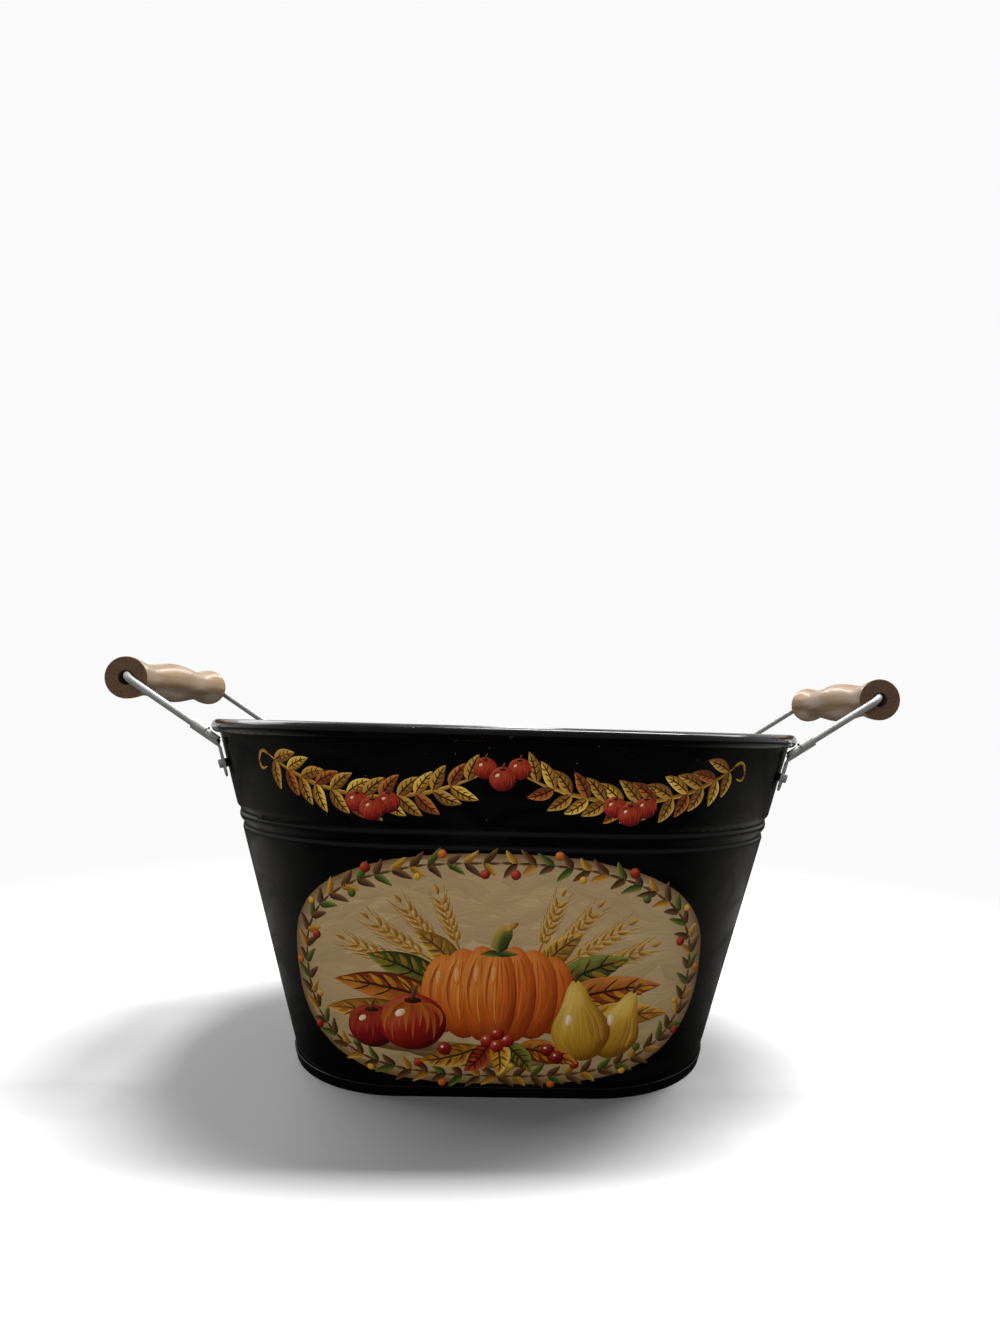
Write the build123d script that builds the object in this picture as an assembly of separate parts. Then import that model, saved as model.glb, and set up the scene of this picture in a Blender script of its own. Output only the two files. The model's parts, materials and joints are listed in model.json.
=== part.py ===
from build123d import *
from math import asin, atan, atan2, cos, degrees, sin, sqrt
import os

# Oval sheet-metal harvest bucket with two fixed wire bails and turned wooden grips.
# Millimetres. +Z is up, +X runs along the oval, the front long side faces -Y.
# The origin is on the standing plane, under the middle of the tub.

# Tub outline, measured on the outer face of the wall
side_half_length = 51.0      # half of the straight part of a long side
base_end_radius = 69.5       # end radius on the standing plane
rim_end_radius = 117.8       # end radius level with the middle of the rim roll
tub_height = 194.5           # standing plane to the top of the rim
sheet = 0.6                  # thickness of the wall and the bottom
fit_clearance = 0.05         # paint film between pieces that are pressed together

# Rim roll: the wall's edge curled round a stiffening wire
rim_wire_diameter = 6.0
curl_slot = 0.4              # open slot between the curled edge and the wall

# Two grooves rolled into the wall below the rim
groove_drop = 49.5           # top of the rim down to the upper groove's deepest line
groove_half_height = 3.6     # deepest line to the wall's face, along the wall
groove_depth = 1.1
groove_pitch = 7.5
groove_count = 2

# Lock seam up the middle of the rear side
seam_width = 7.0
seam_rise = 0.8
seam_end_gap = 1.0           # plain wall left between the seam and the hem or the roll

# Bottom: a raised floor whose edge is folded round the wall's lower edge
floor_height = 4.0           # underside of the floor above the standing plane
hem_height = 6.0
hem_thickness = 1.25         # the folded edge outside the wall
hem_round = 0.5

# Wooden grips
grip_length = 105.0
grip_bore = 8.0
grip_barrel_diameter = 23.5
grip_neck_diameter = 18.0
grip_end_diameter = 23.0
grip_neck_inset = 20.0       # end face to the narrowest part of a neck
grip_edge_round = 0.5
grip_play = 0.3              # gap left above the wire that the grip hangs on

# Bails: bent wire, with the grip on the bar between the two arms
bail_wire_diameter = 4.0
bail_bend_radius = 8.0       # on the wire's centre line
bar_reach = 34.7             # outermost point of the rim to the bar
bar_rise = 22.7              # top of the rim to the bar

# Ears: a sheet strap, flat where it is riveted and crimped round the wire above
ear_sheet = 0.9
ear_width = 9.0
ear_inward_shift = 3.0       # strap's middle line inside the arm's
tab_rise = 8.8               # rivet up to the strap's bend
tab_drop = 7.5               # rivet down to the strap's rounded tip
sleeve_length = 7.8
sleeve_drop = 3.4            # middle of the rim roll down to the sleeve's lower end
sleeve_stand_off = 8.3       # wall to the wire's centre there, along X
gutter_length = 8.3          # open trough below the sleeve, round the wire's end
wire_end_inset = 0.5         # wire's end short of the trough's lower end

# Rivets and the spacers that hold the straps off the wall
rivet_drop = 23.3            # top of the rim down to the rivet
rivet_diameter = 3.2
rivet_head_overlap = 0.8     # head or tail beyond the shank, all round
rivet_head_height = 2.0
rivet_tail_height = 1.2
rivet_edge_round = 0.5
spacer_length = 1.9
spacer_wall = 0.8

# Values that follow from the driving dimensions
curl_inner_radius = rim_wire_diameter / 2 + fit_clearance
curl_outer_radius = curl_inner_radius + sheet
roll_height = tub_height - curl_outer_radius
taper = (rim_end_radius - base_end_radius) / roll_height
wall_lean = atan(taper)
sheet_across = sheet / cos(wall_lean)
wall_bottom = sheet + fit_clearance
upper_groove = tub_height - groove_drop
groove_heights = [upper_groove - row * groove_pitch for row in reversed(range(groove_count))]
rim_outer_x = side_half_length + rim_end_radius + curl_outer_radius

bar_x = rim_outer_x + bar_reach
bar_height = tub_height + bar_rise
bore_play = (grip_bore - bail_wire_diameter) / 2
grip_height = bar_height - (bore_play - grip_play)
bend_drift = bore_play / 2
bend_inset = sqrt(bend_drift * (2 * bail_bend_radius - bend_drift))
arm_y = grip_length / 2 - bend_inset + bail_bend_radius

SIDES = {"left": -1, "right": 1}
ENDS = {"front": -1, "rear": 1}


def wall_radius(height, offset=0.0):
    """End radius of the wall's outer face at a height, moved outwards by an offset."""
    return base_end_radius + taper * height + offset


def wall_x(height, y):
    """X of the wall's outer face on the right-hand end, at a height and a distance from the middle."""
    return side_half_length + sqrt(wall_radius(height) ** 2 - y ** 2)


def wall_line(offset, bottom, top):
    """Edges of one wall face in radius and height, from bottom to top, with the grooves."""
    wall_up = Vector(sin(wall_lean), cos(wall_lean))
    wall_in = Vector(-cos(wall_lean), sin(wall_lean))
    shoulder = wall_up * groove_half_height
    inflection = shoulder / 2
    edges = []
    start = Vector(wall_radius(bottom, offset), bottom)
    for height in groove_heights:
        line = Vector(wall_radius(height, offset), height)
        low = line - inflection + wall_in * groove_depth / 2
        high = line + inflection + wall_in * groove_depth / 2
        edges.append(Line(start, line - shoulder))
        edges.append(TangentArc(line - shoulder, low, tangent=wall_up))
        edges.append(ThreePointArc(low, line + wall_in * groove_depth, high))
        edges.append(TangentArc(line + shoulder, high, tangent=-wall_up))
        start = line + shoulder
    edges.append(Line(start, (wall_radius(top, offset), top)))
    return edges


def wall_strip(inner_offset, outer_offset, bottom, top):
    """Closed section of the wall between two faces, with the grooves in both."""
    edges = wall_line(outer_offset, bottom, top) + wall_line(inner_offset, bottom, top)
    for height in (bottom, top):
        inner = (wall_radius(height, inner_offset), height)
        outer = (wall_radius(height, outer_offset), height)
        edges.append(Line(inner, outer))
    return make_face(edges)


def carry_round(section):
    """Carry a section in radius and height round the oval: two half turns and two straight runs."""
    upright = Plane.XZ * section
    half_turn = revolve(upright, Axis.Z, 180)
    run = extrude(upright.rotate(Axis.Z, -90), side_half_length, dir=(1, 0, 0), both=True)
    right_end = half_turn.rotate(Axis.Z, -90).translate((side_half_length, 0, 0))
    left_end = half_turn.rotate(Axis.Z, 90).translate((-side_half_length, 0, 0))
    return right_end + left_end + run + run.rotate(Axis.Z, 180)


def place(solid, side, end):
    """Mirror a solid made for the right rear corner to another corner."""
    if SIDES[side] < 0:
        solid = mirror(solid, Plane.YZ)
    if ENDS[end] < 0:
        solid = mirror(solid, Plane.XZ)
    return solid


# Ear frame at the right rear corner: the rivet's axis is square to the wall
rivet_height = tub_height - rivet_drop
ear_angle = asin((arm_y - ear_inward_shift) / wall_radius(rivet_height, spacer_length))
ear_radial = Vector(cos(ear_angle), sin(ear_angle), 0)
ear_along = Vector(-sin(ear_angle), cos(ear_angle), 0)
ear_out = ear_radial * cos(wall_lean) - Vector(0, 0, 1) * sin(wall_lean)
ear_up = ear_radial * sin(wall_lean) + Vector(0, 0, 1) * cos(wall_lean)
rivet_point = ear_radial * wall_radius(rivet_height) + Vector(side_half_length, 0, rivet_height)
rivet_plane = Plane(rivet_point, x_dir=ear_along, z_dir=ear_out)
rivet_axis = Axis(rivet_point, ear_out)

# Arm line at the right rear corner: from the bar down to the lower end of the sleeve
sleeve_height = roll_height - sleeve_drop
sleeve_x = wall_x(sleeve_height, arm_y) + sleeve_stand_off
arm_slope = atan2(bar_height - sleeve_height, bar_x - sleeve_x)
arm_direction = Vector(cos(arm_slope), 0, sin(arm_slope))
sleeve_point = Vector(sleeve_x, arm_y, sleeve_height)
sleeve_plane = Plane(sleeve_point, x_dir=(0, 1, 0), z_dir=arm_direction)
gutter_plane = sleeve_plane.offset(-gutter_length)


def make_tub_wall():
    """Tapered wall with its grooves, its rim curled outwards round a wire, and its lock seam."""
    strip_top = roll_height - (curl_inner_radius + curl_outer_radius) / 2
    curl = Pos(rim_end_radius, roll_height) * (Circle(curl_outer_radius) - Circle(curl_inner_radius))
    slot = Pos(rim_end_radius, roll_height - curl_outer_radius) * Rectangle(
        curl_slot, 2 * sheet + curl_slot, align=(Align.MIN, Align.CENTER)
    )
    section = wall_strip(-sheet_across, 0, wall_bottom, strip_top) + curl - slot
    wall = carry_round(section)
    seam_bottom = hem_height + seam_end_gap
    seam_top = roll_height - curl_outer_radius - seam_end_gap
    seam_section = Plane.XZ * wall_strip(-sheet_across / 2, seam_rise, seam_bottom, seam_top)
    wall += extrude(seam_section.rotate(Axis.Z, 90), seam_width / 2, dir=(1, 0, 0), both=True)
    hole_radius = rivet_diameter / 2 + fit_clearance
    hole = rivet_plane * Cylinder(hole_radius, 2 * (spacer_length + sheet))
    for side in SIDES:
        for end in ENDS:
            wall -= place(hole, side, end)
    return wall


def make_tub_bottom():
    """Raised floor, turned down inside the wall, under its edge and up again outside as a hem."""
    wall_inner = -sheet_across - fit_clearance
    skirt_inner = wall_inner - sheet_across
    floor_top = floor_height + sheet
    outline = [
        (0, floor_height),
        (wall_radius(floor_height, skirt_inner), floor_height),
        (wall_radius(0, skirt_inner), 0),
        (wall_radius(0, fit_clearance + hem_thickness), 0),
        (wall_radius(hem_height, fit_clearance + hem_thickness), hem_height),
        (wall_radius(hem_height, fit_clearance), hem_height),
        (wall_radius(sheet, fit_clearance), sheet),
        (wall_radius(sheet, wall_inner), sheet),
        (wall_radius(floor_top, wall_inner), floor_top),
        (0, floor_top),
    ]
    section = make_face(Polyline(outline, close=True))
    hem_corners = section.vertices().sort_by(Axis.X)[-2:]
    return carry_round(fillet(hem_corners, hem_round))


def make_rim_wire():
    """Stiffening wire inside the rim's curl."""
    return carry_round(Pos(rim_end_radius, roll_height) * Circle(rim_wire_diameter / 2))


def make_ear():
    """Strap with a round tip and a rivet hole, turned into a crimped sleeve round the wire."""
    tip_radius = ear_width / 2
    straight_drop = tab_drop - tip_radius
    flat = Rectangle(ear_width, tab_rise + straight_drop, align=(Align.CENTER, Align.MIN))
    outline = Pos(0, -straight_drop) * (flat + Circle(tip_radius))
    outline -= Circle(rivet_diameter / 2 + fit_clearance)
    tab = extrude(rivet_plane.offset(spacer_length) * outline, ear_sheet)
    top_point = rivet_point + ear_up * tab_rise + ear_out * (spacer_length + ear_sheet / 2)
    top_plane = Plane(top_point, x_dir=ear_along, z_dir=ear_up)
    bore = bail_wire_diameter / 2 + fit_clearance
    skin = bore + ear_sheet
    flat_edges = []
    gutter_edges = []
    for hand in (-1, 1):
        edge = hand * ear_width / 2
        flat_edges.append(Line((edge, -ear_sheet / 2), (edge, ear_sheet / 2)))
        gutter_edges.append(Line((hand * bore, 0), (hand * skin, 0)))
        for face in (-ear_sheet / 2, ear_sheet / 2):
            flat_edges.append(Line((edge, face), (0, face)))
    for radius in (bore, skin):
        for quarter in (180, 270):
            gutter_edges.append(CenterArc((0, 0), radius, quarter, 90))
    flat_end = top_plane * make_face(flat_edges)
    gutter_ends = [plane * make_face(gutter_edges) for plane in (gutter_plane, sleeve_plane)]
    neck = loft([flat_end, *gutter_ends], ruled=True)
    sleeve = extrude(sleeve_plane * (Circle(skin) - Circle(bore)), sleeve_length)
    return tab + neck + sleeve


def make_rivet():
    """Rivet with its head on the strap and its tail inside the tub."""
    shank_radius = rivet_diameter / 2
    head_radius = shank_radius + rivet_head_overlap
    head_seat = spacer_length + ear_sheet + fit_clearance
    tail_seat = -sheet - fit_clearance
    shank = extrude(rivet_plane.offset(tail_seat) * Circle(shank_radius), head_seat - tail_seat)
    head = extrude(rivet_plane.offset(head_seat) * Circle(head_radius), rivet_head_height)
    head = fillet(head.edges().sort_by(rivet_axis)[-1], rivet_edge_round)
    tail = extrude(rivet_plane.offset(tail_seat) * Circle(head_radius), -rivet_tail_height)
    tail = fillet(tail.edges().sort_by(rivet_axis)[0], rivet_edge_round)
    return shank + head + tail


def make_spacer():
    """Collar on the rivet that keeps the strap off the wall."""
    bore = rivet_diameter / 2 + fit_clearance
    return extrude(rivet_plane * (Circle(bore + spacer_wall) - Circle(bore)), spacer_length)


def make_bail():
    """Right-hand bail: one wire from the front sleeve, along the bar, to the rear sleeve."""
    wire_end = sleeve_point - arm_direction * (gutter_length - wire_end_inset)
    corners = [
        (wire_end.X, -arm_y, wire_end.Z),
        (bar_x, -arm_y, bar_height),
        (bar_x, arm_y, bar_height),
        (wire_end.X, arm_y, wire_end.Z),
    ]
    path = FilletPolyline(*corners, radius=bail_bend_radius)
    start = Plane(path @ 0, z_dir=path % 0)
    return sweep(start * Circle(bail_wire_diameter / 2), path=path)


def make_grip():
    """Right-hand grip: a barrel between two necks, with flat-cut ends and a loose bore."""
    half = grip_length / 2
    neck = half - grip_neck_inset
    end_radius = grip_end_diameter / 2
    neck_radius = grip_neck_diameter / 2
    level = (0, 1)
    outline = [
        Line((0, 0), (grip_barrel_diameter / 2, 0)),
        Spline((grip_barrel_diameter / 2, 0), (neck_radius, neck), tangents=(level, level)),
        Spline((neck_radius, neck), (end_radius, half), tangents=(level, level)),
        Line((end_radius, half), (0, half)),
        Line((0, half), (0, 0)),
    ]
    half_section = make_face(outline)
    rim_corner = half_section.vertices().group_by(Axis.Y)[-1].sort_by(Axis.X)[-1]
    half_section = fillet(rim_corner, grip_edge_round)
    half_turned = revolve(half_section, Axis.Y)
    turned = half_turned + mirror(half_turned, Plane.XZ)
    turned -= Plane.XZ * Cylinder(grip_bore / 2, 2 * grip_length)
    return turned.translate((bar_x, 0, grip_height))


pieces = {
    "tub_wall": make_tub_wall(),
    "tub_bottom": make_tub_bottom(),
    "rim_wire": make_rim_wire(),
}
corner_pieces = {"ear": make_ear(), "ear_rivet": make_rivet(), "ear_spacer": make_spacer()}
side_pieces = {"bail_wire": make_bail(), "wood_grip": make_grip()}
for side in SIDES:
    for name, solid in side_pieces.items():
        pieces[f"{side}_{name}"] = place(solid, side, "rear")
    for end in ENDS:
        for name, solid in corner_pieces.items():
            pieces[f"{side}_{end}_{name}"] = place(solid, side, end)

os.makedirs("parts", exist_ok=True)
for name, solid in pieces.items():
    export_step(solid, f"parts/{name}.step")

print(f"arm slope {degrees(arm_slope):.1f} deg, ear angle {degrees(ear_angle):.1f} deg, arms at y {arm_y:.1f}")
print(f"rim {2 * rim_outer_x:.1f} long, bar x {bar_x:.1f} z {bar_height:.1f}, grip z {grip_height:.2f}")
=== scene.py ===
import json
from itertools import accumulate
from math import copysign, cos, exp, pi, radians, sin, sqrt
from random import Random

import bmesh
import bpy
from mathutils import Matrix, Vector, noise


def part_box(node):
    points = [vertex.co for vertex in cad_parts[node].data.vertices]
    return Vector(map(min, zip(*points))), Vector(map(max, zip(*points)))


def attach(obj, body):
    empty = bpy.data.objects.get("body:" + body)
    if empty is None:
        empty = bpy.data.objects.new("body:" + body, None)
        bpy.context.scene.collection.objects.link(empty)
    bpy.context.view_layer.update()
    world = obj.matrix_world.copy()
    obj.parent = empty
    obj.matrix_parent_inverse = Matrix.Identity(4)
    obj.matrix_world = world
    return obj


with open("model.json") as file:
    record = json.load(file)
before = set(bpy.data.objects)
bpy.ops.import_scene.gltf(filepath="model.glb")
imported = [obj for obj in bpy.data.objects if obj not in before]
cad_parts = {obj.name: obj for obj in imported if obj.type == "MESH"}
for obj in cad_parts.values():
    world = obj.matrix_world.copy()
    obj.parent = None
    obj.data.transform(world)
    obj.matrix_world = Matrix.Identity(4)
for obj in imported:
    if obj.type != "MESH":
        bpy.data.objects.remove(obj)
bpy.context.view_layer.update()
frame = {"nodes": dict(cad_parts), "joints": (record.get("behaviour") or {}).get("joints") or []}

# Tub wall: a strip of sheet steel rolled into a tapered oval, lock-seamed at the back, rolled with
# two grooves, and curled over a wire at the rim. It is sprayed satin black inside and out, and the
# paint is scuffed by use, with small chips on the roll.
mm = 0.001
nodes = frame["nodes"]
rim_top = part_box("tub_wall")[1].z
rim_half_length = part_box("tub_wall")[1].x
roll_radius = 3.65 * mm
roll_start = rim_top - 2.02 * roll_radius
roll_full = rim_top - 1.85 * roll_radius
polish_start = 0.4 * rim_half_length
polish_full = 0.95 * rim_half_length
paint_black = (0.0009, 0.0009, 0.0010, 1)
paint_faded = (0.0036, 0.0035, 0.0033, 1)
chip_grey = (0.22, 0.21, 0.195, 1)
paint_roughness = (0.22, 0.40)
roll_smoothing = 0.7
roll_coat = (0.10, 0.65)
cloud_cells = 14.0
handled_cells = 11.0
speck_cells = 620.0
wipe_stretch = (14.0, 14.0, 90.0)
upright_scratch = (900.0, 900.0, 60.0)
slanted_scratch = (190.0, 190.0, 800.0)
roll_chip = (130.0, 130.0, 420.0)
swirl_cells = 32.0
dent_cells = 45.0
peel_cells = 420.0
peel_share = 0.04
relief_depth = 0.5 * mm


def add_node(tree, kind, inputs, **settings):
    """Add a shader node, set it up, and link or set its inputs."""
    node = tree.nodes.new("ShaderNode" + kind)
    for name, value in settings.items():
        setattr(node, name, value)
    for socket, value in inputs.items():
        if isinstance(value, bpy.types.NodeSocket):
            tree.links.new(value, node.inputs[socket])
        else:
            node.inputs[socket].default_value = value
    return node


def new_material(name, **constants):
    """A material with one shader, whose even values are set on its own sockets."""
    material = bpy.data.materials.new(name)
    material.use_nodes = True
    tree = material.node_tree
    tree.nodes.clear()
    shader = add_node(tree, "BsdfPrincipled", {})
    for socket, value in constants.items():
        shader.inputs[socket.replace("_", " ")].default_value = value
    add_node(tree, "OutputMaterial", {"Surface": shader.outputs["BSDF"]})
    return material, tree, shader


def object_place(tree):
    """Places on the piece, in metres, as a vector."""
    return add_node(tree, "TexCoord", {}).outputs["Object"]


def grain_noise(tree, vector, scale, detail=3.0, distortion=0.0):
    """Soft noise from 0 to 1 at a number of cells per metre."""
    inputs = {"Vector": vector, "Scale": scale, "Detail": detail, "Distortion": distortion}
    return add_node(tree, "TexNoise", inputs).outputs["Fac"]


def spread(tree, value, low, high, to_low=0.0, to_high=1.0):
    """Stretch a value's range from low..high to another, with soft ends."""
    inputs = {"Value": value, "From Min": low, "From Max": high, "To Min": to_low, "To Max": to_high}
    return add_node(tree, "MapRange", inputs, interpolation_type="SMOOTHSTEP").outputs["Result"]


def times(tree, first, second):
    """Product of two values."""
    return add_node(tree, "Math", {0: first, 1: second}, operation="MULTIPLY").outputs["Value"]


def unsigned(tree, value):
    """A value without its sign."""
    return add_node(tree, "Math", {0: value}, operation="ABSOLUTE").outputs["Value"]


def mix_colour(tree, factor, first, second, blend="MIX"):
    """Mix two colours by a factor."""
    inputs = {0: factor, 6: first, 7: second}
    return add_node(tree, "Mix", inputs, data_type="RGBA", blend_type=blend).outputs[2]


def add_bump(tree, height, strength, distance):
    """Surface normal of a height map."""
    inputs = {"Height": height, "Strength": strength, "Distance": distance}
    return add_node(tree, "Bump", inputs).outputs["Normal"]


def combine(tree, operation, first, second):
    """Add, subtract or multiply two vectors."""
    return add_node(tree, "VectorMath", {0: first, 1: second}, operation=operation).outputs["Vector"]


def make_streaks():
    """Node group: streaks drawn out along one direction, with a swirl in metres to bend them."""
    group = bpy.data.node_groups.new("streaks", "ShaderNodeTree")
    for label in ("Place", "Stretch"):
        group.interface.new_socket(label, in_out="INPUT", socket_type="NodeSocketVector")
    for label in ("Low", "High", "Swirl"):
        group.interface.new_socket(label, in_out="INPUT", socket_type="NodeSocketFloat")
    group.interface.new_socket("Mask", in_out="OUTPUT", socket_type="NodeSocketFloat")
    given = group.nodes.new("NodeGroupInput").outputs
    drift = add_node(group, "TexNoise", {"Vector": given["Place"], "Scale": swirl_cells, "Detail": 1.0})
    centred = combine(group, "SUBTRACT", drift.outputs["Color"], (0.5, 0.5, 0.5))
    bent = add_node(group, "VectorMath", {0: centred, "Scale": given["Swirl"]}, operation="SCALE")
    moved = combine(group, "ADD", given["Place"], bent.outputs["Vector"])
    stretched = combine(group, "MULTIPLY", moved, given["Stretch"])
    mask = spread(group, grain_noise(group, stretched, 1.0), given["Low"], given["High"])
    group.links.new(mask, group.nodes.new("NodeGroupOutput").inputs["Mask"])
    return group


streaks = make_streaks()


def add_streaks(tree, place, stretch, low, high, swirl=0.0):
    """Place the streaks in a material with their own stretch, limits and swirl."""
    inputs = {"Place": place, "Stretch": stretch, "Low": low, "High": high, "Swirl": swirl}
    return add_node(tree, "Group", inputs, node_tree=streaks).outputs["Mask"]


def make_satin_black():
    """Satin black paint with wipe marks, a few scratches and specks, and wear on the rim roll."""
    material, tree, shader = new_material("satin_black", Specular_IOR_Level=0.2, Coat_Roughness=0.06)
    place = object_place(tree)
    axes = add_node(tree, "SeparateXYZ", {"Vector": place}).outputs
    on_roll = spread(tree, axes["Z"], roll_start, roll_full)
    clouds = spread(tree, grain_noise(tree, place, cloud_cells), 0.3, 0.7)
    wiped = add_streaks(tree, place, wipe_stretch, low=0.3, high=0.75, swirl=0.05)
    colour = mix_colour(tree, times(tree, clouds, wiped), paint_black, paint_faded)
    handled = spread(tree, grain_noise(tree, place, handled_cells, detail=1.0), 0.52, 0.6)
    upright = add_streaks(tree, place, upright_scratch, low=0.755, high=0.79, swirl=0.004)
    slanted = add_streaks(tree, place, slanted_scratch, low=0.765, high=0.79, swirl=0.006)
    specks = spread(tree, grain_noise(tree, place, speck_cells, detail=1.0), 0.785, 0.81)
    for mask in (upright, slanted, specks):
        colour = mix_colour(tree, times(tree, mask, handled), colour, chip_grey)
    chips = times(tree, add_streaks(tree, place, roll_chip, low=0.74, high=0.77), on_roll)
    colour = mix_colour(tree, chips, colour, chip_grey)
    tree.links.new(colour, shader.inputs["Base Color"])
    roughness = spread(tree, wiped, 0.0, 1.0, *paint_roughness)
    sheen = times(tree, roughness, spread(tree, on_roll, 0.0, 1.0, 1.0, roll_smoothing))
    tree.links.new(sheen, shader.inputs["Roughness"])
    polish = spread(tree, unsigned(tree, axes["X"]), polish_start, polish_full, *roll_coat)
    tree.links.new(times(tree, on_roll, polish), shader.inputs["Coat Weight"])
    dents = grain_noise(tree, place, dent_cells, detail=1.0)
    relief = {0: grain_noise(tree, place, peel_cells, detail=2.0), 1: peel_share, 2: dents}
    relief = add_node(tree, "Math", relief, operation="MULTIPLY_ADD").outputs["Value"]
    tree.links.new(add_bump(tree, relief, 0.5, relief_depth), shader.inputs["Normal"])
    return material


satin_black = make_satin_black()


def finish_nodes(material, names):
    """Give CAD pieces a finish."""
    for name in names:
        nodes[name].data.materials.clear()
        nodes[name].data.materials.append(material)


finish_nodes(satin_black, ["tub_wall"])

# Tub bottom: a steel pan pressed with a raised floor. Its edge is folded round the wall's lower edge
# as a hem, and it is sprayed together with the wall.
finish_nodes(satin_black, ["tub_bottom"])

# Rim wire: plain zinc-coated steel wire, bent to the oval and closed inside the rim's curl.
# It shows only through the narrow slot under the roll.
zinc_bright = (0.44, 0.436, 0.43, 1)
zinc_dull = (0.33, 0.326, 0.32, 1)
zinc_roughness = (0.52, 0.64)
bloom_cells = 120.0
bloom_share = 0.45
draw_depth = 0.05 * mm
wire_stretch = (120.0, 120.0, 120.0)


def make_zinc(name, stretch):
    """Zinc on steel: faint drawn or rolled streaks and a dull bloom."""
    material, tree, shader = new_material(name, Metallic=0.6)
    place = object_place(tree)
    drawn = add_streaks(tree, place, stretch, low=0.25, high=0.8)
    bloom = grain_noise(tree, place, bloom_cells)
    colour = mix_colour(tree, drawn, zinc_dull, zinc_bright)
    colour = mix_colour(tree, spread(tree, bloom, 0.5, 0.75, 0.0, bloom_share), colour, zinc_dull)
    tree.links.new(colour, shader.inputs["Base Color"])
    tree.links.new(spread(tree, bloom, 0.2, 0.8, *zinc_roughness), shader.inputs["Roughness"])
    tree.links.new(add_bump(tree, drawn, 0.03, draw_depth), shader.inputs["Normal"])
    return material


drawn_zinc = make_zinc("drawn_zinc", wire_stretch)
finish_nodes(drawn_zinc, ["rim_wire"])

# Ears: zinc-coated steel straps, riveted to the wall and crimped round the ends of the bails.
# Round-headed steel rivets hold them, each through a short black collar that spaces it off the wall.
strap_stretch = (420.0, 420.0, 90.0)
rolled_zinc = make_zinc("rolled_zinc", strap_stretch)
corners = [f"{side}_{end}" for side in ("left", "right") for end in ("front", "rear")]
finish_nodes(rolled_zinc, [f"{corner}_ear" for corner in corners])
finish_nodes(rolled_zinc, [f"{corner}_ear_rivet" for corner in corners])
finish_nodes(satin_black, [f"{corner}_ear_spacer" for corner in corners])

# Bails: 4 mm zinc-coated wire, drawn smooth and bent square at both ends of the grip.
# The arms run down to the ears, whose sleeves hold them fast.
finish_nodes(drawn_zinc, ["left_bail_wire", "right_bail_wire"])

# Grips: hardwood turned to a barrel between two necks, bored for the wire and dipped in clear lacquer.
# The sawn ends were left bare and have darkened, so they are brown and dull.
grip_spin = next(joint for joint in frame["joints"] if joint["name"] == "right_grip_spin")
bar_x, _, grip_height = grip_spin["pos_m"]
grip_half_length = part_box("right_wood_grip")[1].y
grip_bore_radius = 4 * mm
bore_edge = grip_bore_radius + 0.5 * mm
end_start = grip_half_length - 0.45 * mm
end_full = grip_half_length - 0.1 * mm
wood_pale = (0.32, 0.203, 0.108, 1)
wood_tan = (0.215, 0.131, 0.064, 1)
wood_fleck = (0.15, 0.095, 0.053, 1)
end_brown = (0.135, 0.078, 0.047, 1)
end_dark_and_bore_shade = (0.085, 0.047, 0.028, 1)
grain_stretch = (300.0, 14.0, 300.0)
fleck_stretch = (1300.0, 170.0, 1300.0)
fleck_share = 0.5
fleck_depth = 0.1 * mm
growth_cells = 38.0
growth_share = 0.45
pore_cells = 1400.0
pore_share = 0.2
wood_roughness = (0.38, 0.85)
lacquer_coat = 0.34


def larger(tree, first, second):
    """The larger of two values."""
    return add_node(tree, "Math", {0: first, 1: second}, operation="MAXIMUM").outputs["Value"]


def distance(tree, place, centre):
    """How far a place lies from a centre."""
    return add_node(tree, "VectorMath", {0: place, 1: centre}, operation="DISTANCE").outputs["Value"]


def make_lacquered_wood():
    """Pale lacquered hardwood with lengthwise grain and flecks, bare brown end grain, and painted shade in
    the bore.
    """
    material, tree, shader = new_material("lacquered_wood", Coat_Roughness=0.22, Specular_IOR_Level=0.3)
    place = object_place(tree)
    axes = add_node(tree, "SeparateXYZ", {"Vector": place}).outputs
    grain = add_streaks(tree, place, grain_stretch, low=0.3, high=0.7, swirl=0.006)
    flecks = add_streaks(tree, place, fleck_stretch, low=0.62, high=0.70)
    growth = grain_noise(tree, place, growth_cells, detail=2.0, distortion=1.5)
    colour = mix_colour(tree, grain, wood_tan, wood_pale)
    colour = mix_colour(tree, spread(tree, growth, 0.45, 0.7, 0.0, growth_share), colour, wood_tan)
    colour = mix_colour(tree, times(tree, flecks, fleck_share), colour, wood_fleck)
    at_end = spread(tree, unsigned(tree, axes["Y"]), end_start, end_full)
    pores = grain_noise(tree, place, pore_cells, detail=2.0)
    end_colour = mix_colour(tree, spread(tree, pores, 0.35, 0.65), end_dark_and_bore_shade, end_brown)
    end_colour = mix_colour(tree, spread(tree, pores, 0.66, 0.72, 0.0, pore_share), end_colour, wood_tan)
    colour = mix_colour(tree, at_end, colour, end_colour)
    # The bore is bare wood, painted in the dark end tone as painted shade inside the hole.
    in_section = {"X": unsigned(tree, axes["X"]), "Z": axes["Z"]}
    in_section = add_node(tree, "CombineXYZ", in_section).outputs["Vector"]
    radius = distance(tree, in_section, (bar_x, 0.0, grip_height))
    in_bore = spread(tree, radius, grip_bore_radius, bore_edge, 1.0, 0.0)
    colour = mix_colour(tree, in_bore, colour, end_dark_and_bore_shade)
    bare = larger(tree, at_end, in_bore)
    tree.links.new(colour, shader.inputs["Base Color"])
    tree.links.new(spread(tree, bare, 0.0, 1.0, *wood_roughness), shader.inputs["Roughness"])
    tree.links.new(spread(tree, bare, 0.0, 1.0, lacquer_coat, 0.0), shader.inputs["Coat Weight"])
    tree.links.new(add_bump(tree, flecks, 0.04, fleck_depth), shader.inputs["Normal"])
    return material


finish_nodes(make_lacquered_wood(), ["left_wood_grip", "right_wood_grip"])

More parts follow.
